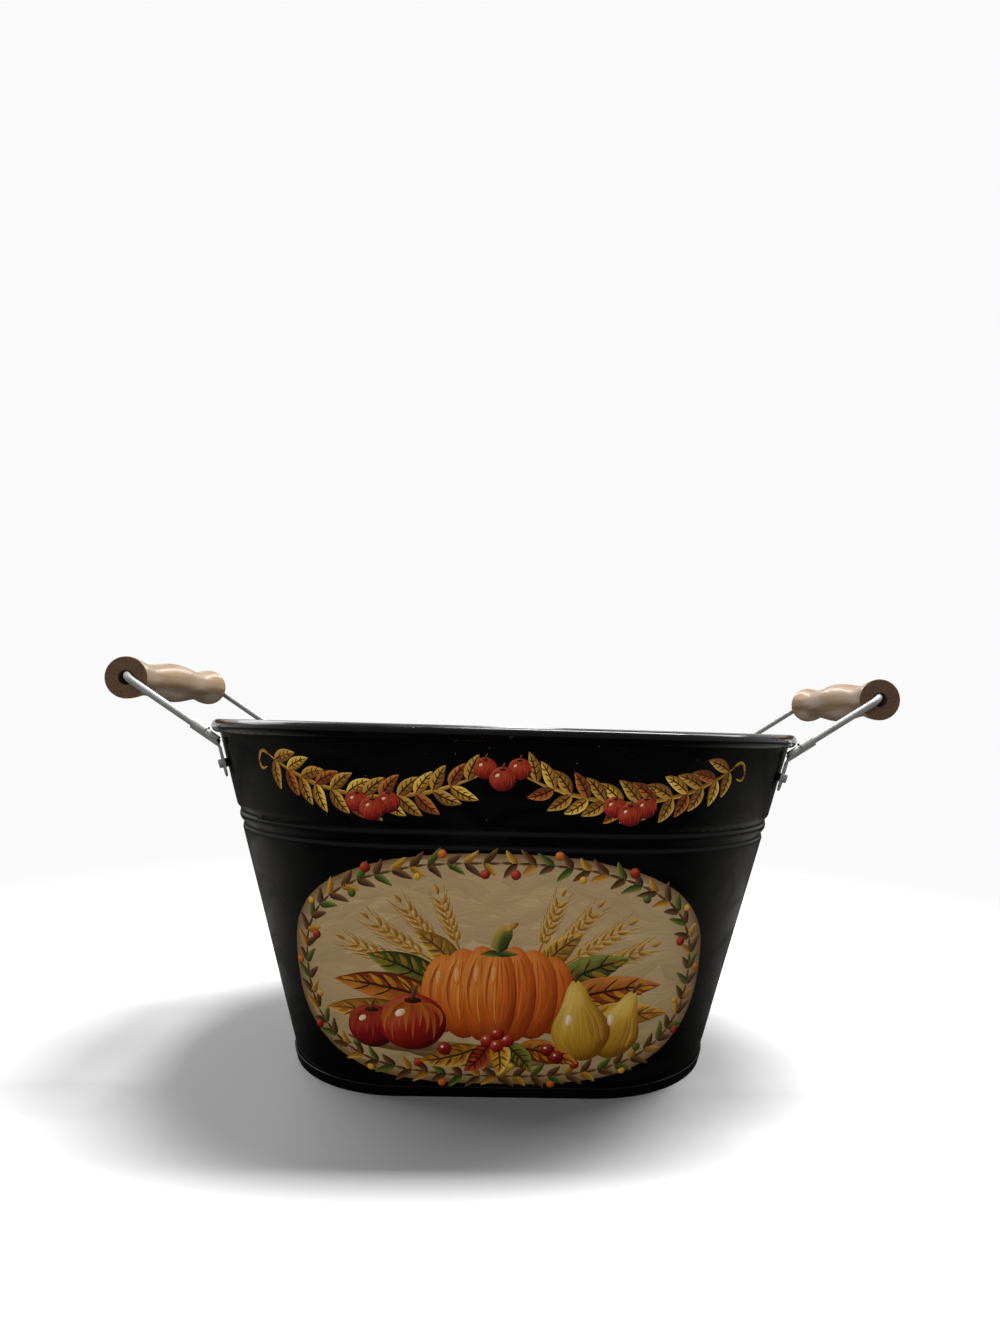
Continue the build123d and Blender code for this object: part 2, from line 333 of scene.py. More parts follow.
# Panel ground: an oval of cream craft paint, brushed on the front of the wall under the grooves.
# It was laid on in short swirling strokes, and glazed with brown towards its edge.
side_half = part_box("tub_wall")[1].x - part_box("tub_wall")[1].y
rim_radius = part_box("tub_wall")[1].y - roll_radius
foot_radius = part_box("tub_bottom")[1].y
hem_reach = 2.66 * mm
wall_lean = (rim_radius - foot_radius + hem_reach) / (rim_top - roll_radius)
panel_middle = 70.5 * mm
panel_half_width = 110 * mm
panel_half_height = 63.0 * mm
oval_power = 0.8
ground_lift = 0.03 * mm
film_lift = 0.30 * mm
lift_per_point = 0.000012 * mm
paint_thickness = 0.5 * mm
fine_cell = 1.0 * mm
merge_gap = 0.001 * mm
waver_seed = 3
waver = 0.35 * mm
waver_pace = 150.0
tip_light = 0.25
bristle_shift = 7 * mm
bristle_depth = 0.15 * mm
brushed_roughness = (0.40, 0.58)
patchy_cells = 70.0
patchy_share = 0.35


def on_wall(along, up, lift):
    """Point on the wall: a distance round from the middle of the front, a height, and a lift off it."""
    radius = foot_radius - hem_reach + wall_lean * up
    bend = max(0.0, abs(along) - side_half) / radius
    straight = min(abs(along), side_half)
    across = straight + (radius + lift) * sin(bend)
    return Vector((copysign(across, along), -(radius + lift) * cos(bend), up))


def cells_along(length, coarse, reach):
    """Cells along a mark: finer where it reaches past the flat front and bends with the wall."""
    return max(coarse, round(length / fine_cell)) if reach > side_half else coarse


def pigment(red, green, blue):
    """A paint colour given as display values from 0 to 255."""
    return Vector([(value / 255) ** 2.2 for value in (red, green, blue)] + [1.0])


def blend_tones(tones, share):
    """Colour between a dark, a middle and a light tone, for a share from 0 to 1."""
    share = min(max(share, 0.0), 1.0) * 2
    if share < 1:
        return tones[0].lerp(tones[1], share)
    return tones[1].lerp(tones[2], share - 1)


def new_canvas():
    """An empty mesh for brush marks, with their colours and the run of their bristles."""
    canvas = bmesh.new()
    canvas.verts.layers.float_color.new("tint")
    canvas.loops.layers.uv.new("brush")
    return canvas


def lay_mark(canvas, columns, rows, tones, mark_at, lift):
    """Lay one mark of paint. mark_at gives the place, bristle place and tone for shares of the grid."""
    tint = canvas.verts.layers.float_color["tint"]
    brush = canvas.loops.layers.uv["brush"]
    lift += lift_per_point * len(canvas.verts)
    offset = Vector((len(canvas.verts) * bristle_shift, 0))
    points = bmesh.ops.create_grid(canvas, x_segments=columns, y_segments=rows, size=0.5)["verts"]
    bristle_places = {}
    for point in points:
        place, bristle_place, tone = mark_at(point.co.x + 0.5, point.co.y + 0.5)
        drift = noise.noise_vector(Vector((place.x, place.y, offset.x)) * waver_pace) * waver
        point[tint] = blend_tones(tones, tone)
        point.co = on_wall(place.x + drift.x, place.y + drift.y, lift)
        bristle_places[point] = Vector(bristle_place) + offset
    for face in {face for point in points for face in point.link_faces}:
        face.smooth = True
        for loop in face.loops:
            loop[brush].uv = bristle_places[loop.vert]
    bmesh.ops.remove_doubles(canvas, verts=points, dist=merge_gap)


def hang_canvas(name, canvas, material):
    """Turn a canvas into a thin skin of paint that is keyed into the wall."""
    for edge in canvas.edges:
        edge.smooth = not edge.is_boundary
    data = bpy.data.meshes.new(name)
    canvas.to_mesh(data)
    canvas.free()
    data.materials.append(material)
    piece = bpy.data.objects.new(name, data)
    bpy.context.scene.collection.objects.link(piece)
    skin = piece.modifiers.new("skin", "SOLIDIFY")
    skin.thickness = paint_thickness
    skin.offset = -1.0
    piece.visible_diffuse = False
    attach(piece, "tub")


def make_brushed_paint(name, stretch, swirl, depth):
    """Craft paint with the marks of the bristles, a soft sheen, and a patchy thickness."""
    material, tree, shader = new_material(name, Specular_IOR_Level=0.22)
    tint = add_node(tree, "Attribute", {}, attribute_name="tint").outputs["Color"]
    bristle_place = add_node(tree, "UVMap", {}, uv_map="brush").outputs["UV"]
    bristles = add_streaks(tree, bristle_place, stretch, low=0.25, high=0.75, swirl=swirl)
    patches = spread(tree, grain_noise(tree, object_place(tree), patchy_cells), 0.35, 0.7)
    thin = mix_colour(tree, 1.0, tint, (depth, depth * 0.94, depth * 0.86, 1), "MULTIPLY")
    colour = mix_colour(tree, bristles, thin, tint)
    colour = mix_colour(tree, times(tree, patches, patchy_share), colour, thin)
    tree.links.new(colour, shader.inputs["Base Color"])
    tree.links.new(spread(tree, bristles, 0.0, 1.0, *brushed_roughness), shader.inputs["Roughness"])
    tree.links.new(add_bump(tree, bristles, 0.12, bristle_depth), shader.inputs["Normal"])
    return material


def oval_point(turn, share):
    """Point on the panel at an angle, at a share of its full size."""
    across, upward = cos(turn), sin(turn)
    along = share * panel_half_width * copysign(abs(across) ** oval_power, across)
    up = panel_middle + share * panel_half_height * copysign(abs(upward) ** oval_power, upward)
    return Vector((along, up))


cream = (pigment(112, 86, 56), pigment(172, 146, 106), pigment(190, 165, 124))
ground_columns = 144
ground_rows = 24
edge_tone = 0.15
edge_pace = 7
edge_glaze = 0.25
ground_seed = 4
ground_strokes = 190
stroke_tilt = radians(35)
stroke_half_lengths = (11, 20)
stroke_rises = (-4, 4)
stroke_widths = (6, 11)
stroke_tones = (0.93, 1.03)
stroke_fade = 0.22
stroke_share = 0.88
stroke_limit = 0.96


def ground_at(s, t):
    """The oval in rings, from its brown edge to its cream middle."""
    place = oval_point(2 * pi * s, 1 - t)
    tone = edge_tone + (1 - edge_tone) * (1 - exp(-edge_pace * t))
    return place, place, tone - edge_glaze * max(0.0, 0.5 - t)


def in_oval(place, share):
    """Whether a place lies inside the panel's oval at a share of its full size."""
    across = abs(place.x) / panel_half_width
    upward = abs(place.y - panel_middle) / panel_half_height
    return across ** (2 / oval_power) + upward ** (2 / oval_power) < share ** (2 / oval_power)


def leaf_profile(s):
    """Width of a pointed leaf along its length, as a share."""
    return sin(pi * s ** 0.75) ** 0.85


def brush_stroke(canvas, start, bend, end, width, tones, profile, columns=6, shade=0.35, lift=film_lift):
    """One pull of the brush along a curve, lighter on its left edge and towards its end."""
    start, bend, end = Vector(start), Vector(bend), Vector(end)
    length = (end - start).length
    columns = cells_along(length, columns, max(abs(start.x), abs(end.x)))

    def mark_at(s, t):
        spine = start.lerp(bend, s).lerp(bend.lerp(end, s), s)
        ahead = (bend - start).lerp(end - bend, s).normalized()
        left = Vector((-ahead.y, ahead.x))
        place = spine + left * (width * profile(s) * (t - 0.5))
        return place, (s * length, t * width), 0.5 + shade * (2 * t - 1) + tip_light * (s - 0.5)

    lay_mark(canvas, columns, 2, tones, mark_at, lift)


noise.seed_set(waver_seed)
ground = new_canvas()
lay_mark(ground, ground_columns, ground_rows, cream, ground_at, ground_lift)
chance = Random(ground_seed)
for _ in range(ground_strokes):
    share = stroke_share * sqrt(chance.random())
    middle = oval_point(chance.uniform(0, 2 * pi), share)
    swing = Matrix.Rotation(chance.uniform(-stroke_tilt, stroke_tilt), 2)
    half = swing @ Vector((chance.uniform(*stroke_half_lengths) * mm, 0))
    rise = swing @ Vector((0, chance.uniform(*stroke_rises) * mm))
    tone = chance.uniform(*stroke_tones) - stroke_fade * max(0.0, share - 0.6)
    tones = [cream[1].lerp(cream[2], 0.35) * (tone + step) for step in (-0.03, 0.0, 0.03)]
    if in_oval(middle + half, stroke_limit) and in_oval(middle - half, stroke_limit):
        width = chance.uniform(*stroke_widths) * mm
        ends = middle - half, middle + rise, middle + half
        brush_stroke(ground, *ends, width, tones, leaf_profile, columns=7, shade=0.4, lift=ground_lift)
cream_ground = make_brushed_paint("cream_ground", stretch=(60.0, 700.0, 1.0), swirl=0.006, depth=0.86)
hang_canvas("panel_ground", ground, cream_ground)

# Panel border: a laurel wreath in two branches that rise from the foot of the panel and meet above.
# Each leaf is one press of a round brush in brown, ochre or green, with dots of colour between them.
border_share = 0.925
border_pairs = 30
border_leaf_length = 10.5 * mm
border_leaf_width = 3.6 * mm
border_stem_width = 1.3 * mm
border_leaf_lean = 34
border_lean_step = 7
border_dot_radius = 2.3 * mm
border_dot_out = 5.4 * mm
border_dot_in = 5.8 * mm
border_fine_steps = 360
ball_tone = 0.56
ball_edge = 0.30
light_across = -0.26
light_up = 0.34
neck_start = -0.35
neck_length = 1.05
brown = (pigment(46, 28, 18), pigment(92, 60, 36), pigment(142, 104, 66))
ochre = (pigment(104, 66, 18), pigment(176, 122, 34), pigment(222, 176, 84))
green = (pigment(34, 44, 18), pigment(78, 94, 36), pigment(138, 146, 66))
gold = (pigment(150, 98, 18), pigment(222, 164, 34), pigment(248, 216, 112))
orange = (pigment(130, 46, 12), pigment(206, 96, 26), pigment(240, 164, 80))
red = (pigment(78, 12, 12), pigment(156, 34, 24), pigment(224, 112, 78))
rust = (pigment(86, 34, 14), pigment(156, 72, 26), pigment(208, 130, 60))


def comma_profile(s):
    """Width of a pressed and lifted stroke: a round head and a fine tail."""
    return sin(pi * s ** 0.55) ** 0.7


def line_profile(s):
    """Width of an even line with fine ends."""
    return min(1.0, 0.25 + 5 * s, 0.15 + 4 * (1 - s))


def paint_dab(canvas, centre, half_width, half_height, tones, turn=0.0, pinch=0.0, columns=14):
    """A round dab, shaded like a ball that is lit from the upper left."""
    centre = Vector(centre)
    turned = Matrix.Rotation(turn, 2)

    def mark_at(s, t):
        share = 1 - t
        x, y = share * cos(2 * pi * s), share * sin(2 * pi * s)
        tone = ball_tone + light_across * x + light_up * y - ball_edge * share ** 4
        rise = min(max((y - neck_start) / neck_length, 0.0), 1.0)
        narrow = 1 - pinch * rise * rise * (3 - 2 * rise)
        place = centre + turned @ Vector((x * half_width * narrow, y * half_height))
        bristle_place = (y * half_height, x * half_width / max(1 - y * y, 0.2) ** 0.5)
        return place, bristle_place, tone

    reach = abs(centre.x) + half_width
    columns = cells_along(2 * pi * half_width, columns, reach)
    rows = cells_along(half_width, 4, reach)
    lay_mark(canvas, columns, rows, tones, mark_at, film_lift)


def even_turns(count, first, last):
    """Angles that divide a stretch of the oval's edge into equal lengths."""
    steps = range(border_fine_steps + 1)
    fine = [first + (last - first) * step / border_fine_steps for step in steps]
    places = [oval_point(turn, border_share) for turn in fine]
    reach = [0.0] + list(accumulate((b - a).length for a, b in zip(places, places[1:])))
    wanted = [reach[-1] * step / count for step in range(count + 1)]
    return [fine[min(steps, key=lambda i: abs(reach[i] - length))] for length in wanted]


border = new_canvas()
leaf_paints = (brown, ochre, brown, green)
dot_paints = (gold, orange, red, gold, green, red)
for hand in (-1, 1):
    turns = even_turns(border_pairs, -pi / 2, -pi / 2 + hand * pi)
    branch = [oval_point(turn, border_share) for turn in turns]
    for here, there in zip(branch, branch[1:]):
        ends = here, here.lerp(there, 0.5), there
        brush_stroke(border, *ends, border_stem_width, brown, line_profile, columns=3)
    for step, (here, there) in enumerate(zip(branch, branch[1:])):
        ahead = (there - here).normalized()
        for lean in (-1, 1):
            paint = leaf_paints[(step + (lean > 0)) % len(leaf_paints)]
            spread_angle = radians(border_leaf_lean + border_lean_step * (step % 3))
            way = Matrix.Rotation(lean * spread_angle, 2) @ ahead
            size = border_leaf_length * (0.86 + 0.07 * ((step * 5 + lean) % 4))
            tip = here + way * size
            bend = here.lerp(tip, 0.5) + ahead * 0.12 * size
            brush_stroke(border, here, bend, tip, border_leaf_width, paint, comma_profile, columns=5)
    for step, here in enumerate(branch[1:-1:2]):
        outward = (here - Vector((0, panel_middle))).normalized()
        paint = dot_paints[step % len(dot_paints)]
        size = border_dot_radius * (0.8 + 0.15 * (step % 3))
        away = border_dot_out if step % 2 else -border_dot_in
        paint_dab(border, here + outward * away, size, size, paint, columns=10)
border_paint = make_brushed_paint("border_paint", stretch=(70.0, 1300.0, 1.0), swirl=0.002, depth=0.62)
hang_canvas("panel_border", border, border_paint)

# Harvest still life: a pumpkin among apples, pears, leaves and ears of wheat, in craft paint.
# It is built up in layers, from the shadow on the table to the small lights on the fruit.
pear = (pigment(120, 78, 16), pigment(196, 150, 44), pigment(238, 208, 116))
wheat = (pigment(98, 60, 20), pigment(182, 128, 44), pigment(236, 196, 112))
crimson = (pigment(64, 10, 14), pigment(128, 24, 26), pigment(196, 82, 64))
table_shade = (pigment(96, 70, 44), pigment(126, 98, 64), pigment(150, 122, 84))
glint = (pigment(214, 170, 130), pigment(240, 214, 184), pigment(252, 240, 222))
ink = (pigment(34, 20, 12), pigment(52, 32, 18), pigment(84, 56, 32))


def at(along, up):
    """A place on the wall given in millimetres."""
    return Vector((along * mm, up * mm))


def paint_leaf(canvas, root, tip, width, tones, vein, bow=0.12, accent=None):
    """A pointed leaf with a light and a dark half, strokes of an accent, and ribs in three pairs."""
    reach = tip - root
    left = Vector((-reach.y, reach.x))
    bend = root.lerp(tip, 0.5) + left * bow
    brush_stroke(canvas, root, bend, tip, width, tones, leaf_profile, columns=10, shade=0.42)
    rib_width = 0.03 * width + 0.35 * mm

    def spine(s):
        return root.lerp(bend, s).lerp(bend.lerp(tip, s), s)

    for step in range(12 if accent else 0):
        s = 0.08 + 0.065 * step
        side = left.normalized() * (-1) ** step * width * leaf_profile(s + 0.14)
        mellow = [tone.lerp(accent[1], 0.20 + 0.12 * (step % 4)) for tone in tones]
        ends = spine(s) + side * 0.04, spine(s + 0.05) + side * 0.26, spine(s + 0.14) + side * 0.43
        brush_stroke(canvas, *ends, 0.16 * width, mellow, leaf_profile, columns=5, shade=0.2)
    brush_stroke(canvas, root, bend, spine(0.96), rib_width * 1.4, vein, line_profile, shade=0.1)
    for s in (0.25, 0.45, 0.65):
        for hand in (-1, 1):
            side = left.normalized() * hand * width * 0.36 * leaf_profile(s)
            ends = spine(s), spine(s + 0.04) + side * 0.5, spine(s + 0.15) + side
            brush_stroke(canvas, *ends, rib_width, vein, line_profile, columns=3, shade=0.1)


def paint_apple(canvas, centre, radius, tones, streak):
    """An apple: a round body with streaks from its dimple, a stalk and a glint."""
    paint_dab(canvas, centre, radius, 0.93 * radius, tones, columns=22)
    top = centre + Vector((0, 0.72 * radius))
    for step in range(-4, 5):
        flecked = [tone.lerp(streak[1], 0.14 + 0.07 * (step % 3)) for tone in tones]
        start = top + Vector((step * 0.07 * radius, -0.06 * radius))
        end = centre + Vector((step * 0.20 * radius, (-0.62 + 0.23 * (step * 2 % 3)) * radius))
        bend = centre + Vector((step * 0.26 * radius, 0.40 * radius))
        brush_stroke(canvas, start, bend, end, 0.15 * radius, flecked, leaf_profile, columns=7, shade=0.1)
    paint_dab(canvas, top, 0.26 * radius, 0.10 * radius, ink, columns=10)
    stalk = top, top + Vector((0, 0.3 * radius)), top + Vector((0.16 * radius, 0.52 * radius))
    brush_stroke(canvas, *stalk, 0.14 * radius, brown, line_profile, columns=4)
    spot = centre + Vector((-0.38 * radius, 0.30 * radius))
    paint_dab(canvas, spot, 0.17 * radius, 0.11 * radius, glint, radians(35), columns=10)


def paint_berry(canvas, centre, radius, tones):
    """A berry with a glint."""
    paint_dab(canvas, centre, radius, radius, tones, columns=12)
    spot = centre + Vector((-0.32 * radius, 0.36 * radius))
    paint_dab(canvas, spot, 0.22 * radius, 0.18 * radius, glint, columns=8)


def paint_wheat(canvas, root, tip):
    """An ear of wheat: a stalk, six pairs of grains with their beards, and one grain at the tip."""
    reach = tip - root
    left = Vector((-reach.y, reach.x)).normalized()
    ahead = reach.normalized()
    brush_stroke(canvas, root, root.lerp(tip, 0.5), tip, 1.3 * mm, wheat, line_profile, columns=5)
    for step in range(6):
        foot = root.lerp(tip, 0.52 + 0.075 * step)
        for hand in (-1, 1):
            grain = foot + ahead * 5.6 * mm + left * hand * 3.1 * mm
            beard = grain + ahead * 6.5 * mm + left * hand * 1.8 * mm
            hair = grain, grain.lerp(beard, 0.5), beard
            brush_stroke(canvas, *hair, 0.5 * mm, wheat, line_profile, columns=2)
            bend = foot + ahead * 2.0 * mm + left * hand * 2.6 * mm
            brush_stroke(canvas, foot, bend, grain, 2.5 * mm, wheat, comma_profile, columns=4)
    last_grain = tip, tip + ahead * 3 * mm, tip + ahead * 6 * mm
    brush_stroke(canvas, *last_grain, 2.6 * mm, wheat, leaf_profile, columns=4)


def paint_pumpkin(canvas, centre, half_width, half_height):
    """A pumpkin in seven lobes, from the outer ones to the middle, with its stem and ribs."""
    lobes = ((0.70, 0.32, 0.80), (0.46, 0.34, 0.92), (0.21, 0.30, 0.98), (0.0, 0.25, 1.0))
    streak_plan = ((-0.62, rust), (0.62, rust), (0.28, orange), (-0.25, gold), (-0.05, orange))
    light = (orange[1], orange[2], glint[0])
    for offset, wide, tall in lobes:
        lobe_width, lobe_height = wide * half_width, tall * half_height
        for hand in (-1, 1) if offset else (1,):
            lobe = centre + Vector((hand * offset * half_width, 0))
            paint_dab(canvas, lobe, lobe_width, lobe_height, orange, columns=24)
            for across, tones in streak_plan:
                reach = Vector((across * lobe_width, 0))
                pole = Vector((0.35 * across * lobe_width, 0.80 * lobe_height))
                foot = Vector((pole.x, -0.78 * pole.y))
                mellow = [tone.lerp(orange[1], 0.45) for tone in tones]
                ends = lobe + pole, lobe + reach * 1.6, lobe + foot
                brush_stroke(canvas, *ends, 0.13 * lobe_width, mellow, leaf_profile, columns=7, shade=0.25)
            shine = lobe + Vector((-0.25 * lobe_width, 0.40 * lobe_height))
            paint_dab(canvas, shine, 0.12 * lobe_width, 0.20 * lobe_height, light, columns=10)
    crown = centre + Vector((0, 0.86 * half_height))
    for step in range(-3, 4):
        end = crown + Vector((0.085 * step * half_width, (0.02 * abs(step) - 0.10) * half_height))
        ends = crown, crown.lerp(end, 0.5), end
        brush_stroke(canvas, *ends, 0.09 * half_width, green, comma_profile, columns=4)
    stem = crown + Vector((0.16 * half_width, 0.50 * half_height))
    bend = crown + Vector((0, 0.34 * half_height))
    stem_tones = (brown[0], green[1], ochre[2])
    brush_stroke(canvas, crown, bend, stem, 0.22 * half_width, stem_tones, line_profile)
    paint_dab(canvas, stem, 0.10 * half_width, 0.05 * half_height, ochre, radians(35), columns=10)


still_life = new_canvas()
for start, bend, end, width in (
    (at(-78, 33), at(-20, 25), at(40, 27), 8 * mm),
    (at(-44, 25), at(16, 21), at(76, 31), 8 * mm),
    (at(-30, 21), at(0, 18), at(34, 21), 5 * mm),
):
    brush_stroke(still_life, start, bend, end, width, table_shade, leaf_profile, columns=16)
for hand in (-1, 1):
    for across, up in ((30, 112), (48, 107), (64, 98), (77, 86)):
        paint_wheat(still_life, at(hand * 12, 62), at(hand * across, up))
leaf_plan = (
    ((26, 60), (66, 80), 17, green, ink, ochre),
    ((30, 54), (84, 64), 17, rust, ink, gold),
    ((40, 44), (90, 47), 15, ochre, brown, rust),
    ((20, 72), (42, 93), 13, ochre, brown, green),
)
for hand in (-1, 1):
    for root, tip, width, tones, vein, accent in leaf_plan:
        root, tip = at(hand * root[0], root[1]), at(hand * tip[0], tip[1])
        paint_leaf(still_life, root, tip, width * mm, tones, vein, 0.12 * hand, accent)
paint_pumpkin(still_life, at(0, 59), 38 * mm, 27 * mm)
paint_apple(still_life, at(-64, 40), 13 * mm, crimson, orange)
paint_apple(still_life, at(-43, 43), 17 * mm, red, gold)
for centre, half_width, half_height, lean in (((62, 43), 14, 20, -22), ((42, 45), 16, 23, 8)):
    middle = at(*centre)
    tilt = Matrix.Rotation(radians(lean), 2)
    top = middle + tilt @ at(0, 0.94 * half_height)
    size = half_width * mm, half_height * mm
    paint_dab(still_life, middle, *size, pear, turn=radians(lean), pinch=0.52, columns=24)
    blush = [tone.lerp(rust[1], 0.35) for tone in pear]
    for across in (0.30, 0.48, 0.64):
        low = middle + tilt @ at(across * half_width, -0.55 * half_height)
        high = middle + tilt @ at(0.55 * across * half_width, 0.35 * half_height)
        swell = middle + tilt @ at(1.25 * across * half_width, -0.15 * half_height)
        brush_stroke(still_life, low, swell, high, 0.16 * half_width * mm, blush, leaf_profile, shade=0.2)
    stalk = top, top + at(0, 3), top + tilt @ at(2, 7)
    brush_stroke(still_life, *stalk, 2.0 * mm, brown, line_profile, columns=4)
    spot = middle + tilt @ at(-0.36 * half_width, 0.05 * half_height)
    paint_dab(still_life, spot, 1.6 * mm, 3.2 * mm, glint)
for root, tip, width, tones, accent in (
    ((-10, 29), (-40, 21), 13, ochre, rust),
    ((10, 29), (42, 20), 13, rust, gold),
    ((-4, 31), (-17, 15), 11, crimson, orange),
    ((4, 31), (18, 15), 11, green, ochre),
    ((0, 33), (1, 13), 11, gold, orange),
):
    paint_leaf(still_life, at(*root), at(*tip), width * mm, tones, ink, accent=accent)
for along, up in ((-5, 33), (5, 33), (0, 37), (0, 30), (-27, 28), (26, 28), (31, 24)):
    paint_berry(still_life, at(along, up), 3.7 * mm, crimson if abs(along) > 20 else red)
craft_paint = make_brushed_paint("craft_paint", stretch=(60.0, 900.0, 1.0), swirl=0.003, depth=0.66)
hang_canvas("panel_still_life", still_life, craft_paint)

# Rim festoon: two shallow swags of leaves with apples at the dips and in the middle, under the rim.
# It is painted straight on the black in ochre and red craft paint.
swag_reach = 118
swag_height = 178
swag_dip = 34
swag_gap = 4
swag_fall = 3
swag_leaves = 14
swag_leaf_width = 6.2 * mm

festoon = new_canvas()
for hand in (-1, 1):
    start, end = at(hand * swag_reach, swag_height), at(hand * swag_gap, swag_height - swag_fall)
    bend = at(hand * (swag_reach + swag_gap) / 2, swag_height - swag_dip)

    def on_swag(s):
        return start.lerp(bend, s).lerp(bend.lerp(end, s), s)

    brush_stroke(festoon, start, bend, end, 1.9 * mm, ochre, line_profile, columns=20)
    tail = start + at(hand * 8, -4)
    brush_stroke(festoon, start, start + at(hand * 7, 5), tail, 1.5 * mm, ochre, line_profile)
    curl = tail, tail + at(hand * -1, -5), tail + at(hand * -6, -2)
    brush_stroke(festoon, *curl, 1.2 * mm, ochre, line_profile, columns=5)
    for step in range(swag_leaves - 1):
        s = (step + 0.5) / swag_leaves
        root = on_swag(s)
        ahead = (on_swag(s + 0.02) - on_swag(s - 0.02)).normalized()
        for lean in (-1, 1) if step < swag_leaves - 2 else (-hand,):
            size = (12.5 + 1.2 * ((step * 3 + lean) % 3)) * mm
            way = Matrix.Rotation(lean * radians(38 + 6 * ((step + lean) % 3)), 2) @ ahead
            tones = (ochre, rust, ochre, gold)[(step + (lean > 0) * 2) % 4]
            tones = (brown[1], tones[1], tones[2])
            paint_leaf(festoon, root, root + way * size, swag_leaf_width, tones, ink, bow=0.1 * lean)
    dip = on_swag(0.5)
    for across, down, radius in ((-7.5, 2.5, 5.6), (7.5, 2.5, 5.6), (0, 6.0, 6.2)):
        paint_apple(festoon, dip + at(across, -down), radius * mm, red, orange)
for across, up, radius in ((-8, 175, 5.6), (8, 175, 5.6), (0, 170, 6.4)):
    paint_apple(festoon, at(across, up), radius * mm, red, orange)
hang_canvas("rim_festoon", festoon, craft_paint)

# Studio: a pale card floor that fades to white away from the tub, a white surround and soft lamps.
# In reflections the room is dimmer behind the camera, and the floor is dark, painted darker still near the
# tub as painted shadow, with soft patches of painted glow beside and behind the tub. It throws little
# light back, so that the tub's lower half stays dark.
floor_radius = 3.0
floor_fade_start = 0.24
floor_fade_end = 0.75
floor_colour = (0.95, 0.95, 0.95, 1)
floor_bounce = (0.34, 0.34, 0.34, 1)
surround_white = (0.96, 0.96, 0.96, 1)
surround_light = 0.18
room_start = -0.9
room_full = 0.3
room_behind = 0.34
room_ahead = 0.65
mirrored_tint = (1.0, 0.97, 0.91, 1)
mirrored_near = 0.018
mirrored_far = 0.06
patch_inner = 0.10
mirrored_patches = (
    ((-0.45, 0.10, 0), 0.42, 0.28),
    ((0.45, 0.10, 0), 0.42, 0.31),
    ((0, 0.24, 0), 0.31, 0.90),
)

floor_mesh = bmesh.new()
bmesh.ops.create_circle(floor_mesh, cap_ends=True, segments=96, radius=floor_radius)
floor_data = bpy.data.meshes.new("studio_floor")
floor_mesh.to_mesh(floor_data)
floor_mesh.free()
floor = bpy.data.objects.new("studio_floor", floor_data)
bpy.context.scene.collection.objects.link(floor)


def seen_by(tree, kinds):
    """1 for the given kinds of ray, 0 for the rays that light the object."""
    path = add_node(tree, "LightPath", {}).outputs
    seen = path[f"Is {kinds[0]} Ray"]
    for kind in kinds[1:]:
        seen = larger(tree, seen, path[f"Is {kind} Ray"])
    return seen


floor_material = bpy.data.materials.new("pale_floor")
floor_material.use_nodes = True
tree = floor_material.node_tree
tree.nodes.clear()
away = distance(tree, object_place(tree), (0, 0, 0))
seen = seen_by(tree, ("Camera", "Glossy", "Transmission"))
mirrored = seen_by(tree, ("Glossy",))
fade = larger(tree, times(tree, spread(tree, away, floor_fade_start, floor_fade_end), seen), mirrored)
card = add_node(tree, "BsdfDiffuse", {"Color": mix_colour(tree, seen, floor_bounce, floor_colour)})
# In reflections the floor is painted darker near the tub, as painted shadow.
in_reflection = spread(tree, away, floor_fade_start, floor_fade_end, mirrored_near, mirrored_far)
# Painted glow on the floor, seen only in reflections: brighter patches beside and behind the tub.
for centre, patch_outer, level in mirrored_patches:
    reach = distance(tree, object_place(tree), centre)
    in_reflection = larger(tree, in_reflection, spread(tree, reach, patch_outer, patch_inner, 0.0, level))
reflected = mix_colour(tree, in_reflection, (0, 0, 0, 1), mirrored_tint)
glow = add_node(tree, "Emission", {"Color": mix_colour(tree, mirrored, surround_white, reflected)})
floor_mix = add_node(tree, "MixShader", {0: fade, 1: card.outputs[0], 2: glow.outputs[0]})
add_node(tree, "OutputMaterial", {"Surface": floor_mix.outputs[0]})
floor_data.materials.append(floor_material)

world = bpy.data.worlds.new("studio")
bpy.context.scene.world = world
world.use_nodes = True
tree = world.node_tree
tree.nodes.clear()
direction = add_node(tree, "TexCoord", {}).outputs["Generated"]
depth = add_node(tree, "SeparateXYZ", {"Vector": direction}).outputs["Y"]
room = spread(tree, depth, room_start, room_full, room_behind, room_ahead)
mirrored = times(tree, seen_by(tree, ("Glossy",)), room)
shown = larger(tree, seen_by(tree, ("Camera", "Transmission")), mirrored)
strength = larger(tree, shown, surround_light)
surround = add_node(tree, "Background", {"Color": surround_white, "Strength": strength})
add_node(tree, "OutputWorld", {"Surface": surround.outputs[0]})


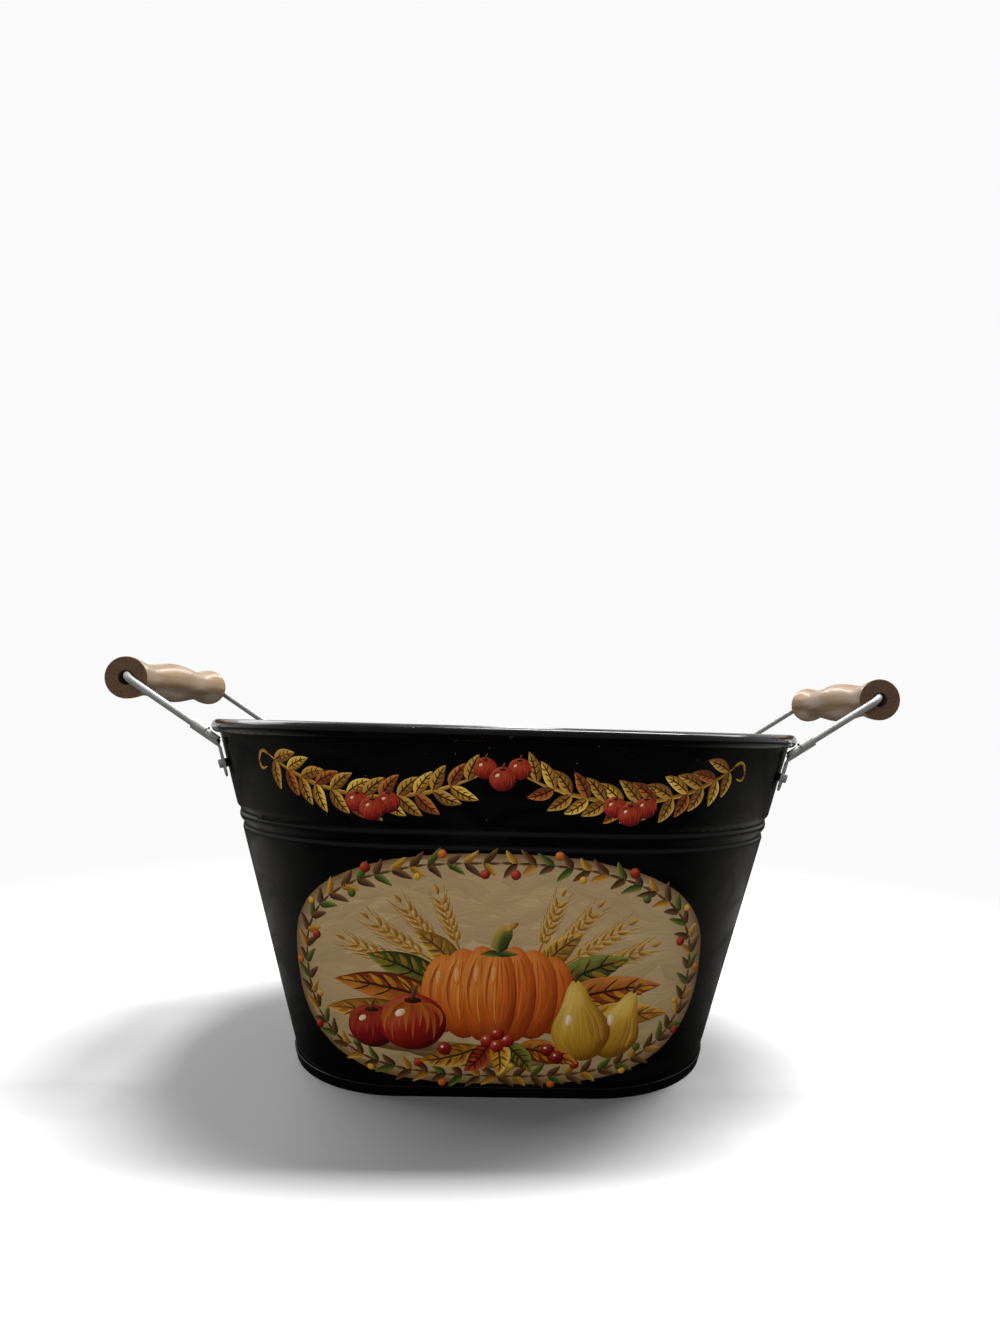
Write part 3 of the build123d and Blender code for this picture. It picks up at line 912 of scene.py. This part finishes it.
def add_softbox(name, place, target, width, length, power):
    """A soft lamp at a place, turned to a target."""
    lamp = bpy.data.lights.new(name, "AREA")
    lamp.shape = "RECTANGLE"
    lamp.size = width
    lamp.size_y = length
    lamp.energy = power
    softbox = bpy.data.objects.new(name, lamp)
    softbox.location = place
    softbox.rotation_euler = (Vector(target) - Vector(place)).to_track_quat("-Z", "Y").to_euler()
    bpy.context.scene.collection.objects.link(softbox)
    return softbox


add_softbox("overhead_softbox", (0.32, 0.09, 1.5), (0.32, 0.09, 0), width=0.9, length=0.25, power=33.0)
add_softbox("left_softbox", (-1.2, 0.75, 1.2), (0, 0, 0.1), width=1.6, length=0.6, power=12.0)
add_softbox("right_softbox", (1.1, 0.4, 1.5), (0, 0, 0), width=0.6, length=0.6, power=9.0)
off_floor = bpy.data.collections.new("lamps_kept_off_floor")
off_floor.objects.link(floor)
off_floor.collection_objects[0].light_linking.link_state = "EXCLUDE"
for softbox in (
    add_softbox("front_softbox", (-0.5, -1.5, 0.75), (0, 0, 0.1), width=0.9, length=0.9, power=10.6),
    add_softbox("back_strip", (0, 1.7, 1.2), (0, 1.7, 0), width=0.2, length=2.0, power=10.0),
):
    softbox.light_linking.receiver_collection = off_floor
    softbox.visible_camera = False
bpy.data.objects["front_softbox"].visible_glossy = False

# Camera: level with the rim, just under half a metre from the tub's middle, turned and tilted a little.
# Its lens and shift give the photograph's framing, and are worked out in the photograph's own pixels.
image_height = 1333
focal_pixels = 734.4
image_centre = (500.0, 666.5)
view_centre = (544.7, 726.7)
eye = (9.5 * mm, -456.5 * mm, 195.2 * mm)
turn_right = 0.0276
tilt = 0.0284

camera_data = bpy.data.cameras.new("camera")
camera_data.sensor_fit = "VERTICAL"
camera_data.sensor_height = 36.0
camera_data.lens = camera_data.sensor_height * focal_pixels / image_height
camera_data.shift_x = (image_centre[0] - view_centre[0]) / image_height
camera_data.shift_y = (view_centre[1] - image_centre[1]) / image_height
camera = bpy.data.objects.new("camera", camera_data)
camera.location = eye
camera.rotation_euler = (pi / 2, -tilt, -turn_right)
bpy.context.scene.collection.objects.link(camera)
bpy.context.scene.camera = camera
bpy.context.scene.view_settings.view_transform = "Standard"
